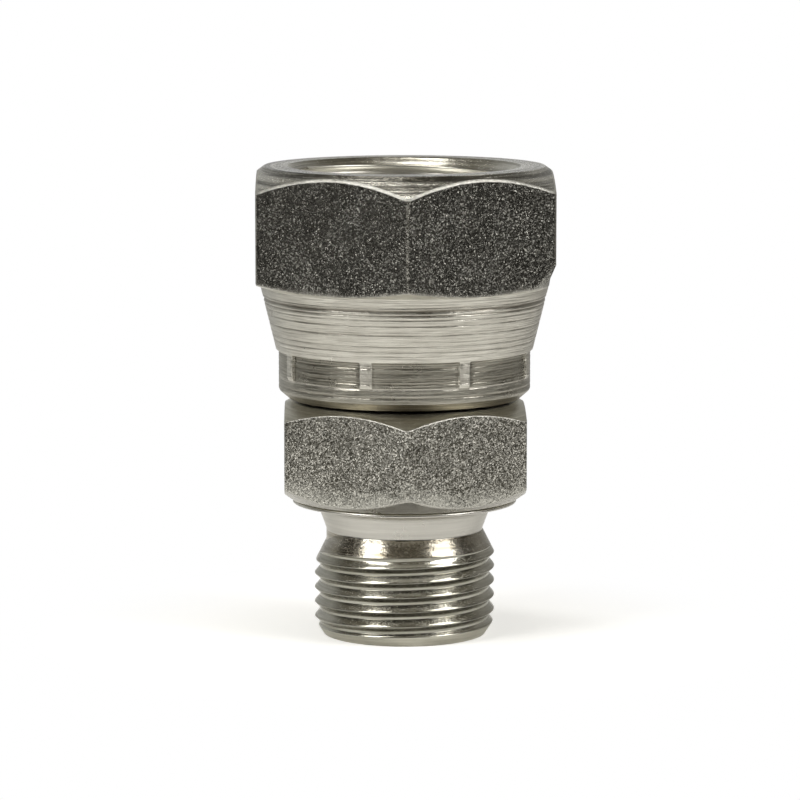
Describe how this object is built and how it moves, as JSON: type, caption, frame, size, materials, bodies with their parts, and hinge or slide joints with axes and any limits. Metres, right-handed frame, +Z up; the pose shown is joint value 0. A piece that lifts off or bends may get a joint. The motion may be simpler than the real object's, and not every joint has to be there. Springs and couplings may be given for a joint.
{
  "type": "straight bsp fitting",
  "caption": "Straight hydraulic adaptor with a male parallel pipe thread at one end and a crimped female swivel nut at the other.",
  "frame": {"origin": "centre of the male end face, on the flow axis", "axes": "+Z up the flow axis, from the male end to the mouth of the nut; one corner of each hexagon points along -Y and a pair of flats faces along X"},
  "size_m": [0.027, 0.031, 0.0432],
  "materials": {
    "stem_zinc_plate": "zinc plated steel, blasted flats, turned neck and thread",
    "nut_zinc_plate": "zinc plated steel, dark blasted flats, turned skirt pressed in by jaws"
  },
  "bodies": {
    "stem": {"threaded_stem": "stem_zinc_plate"},
    "nut": {"swivel_nut": "nut_zinc_plate"}
  },
  "joints": [
    {"name": "nut_swivel", "type": "hinge", "parent": "stem", "child": "nut", "pos_m": [0, 0, 0.0267], "axis": [0, 0, 1], "continuous": true}
  ]
}
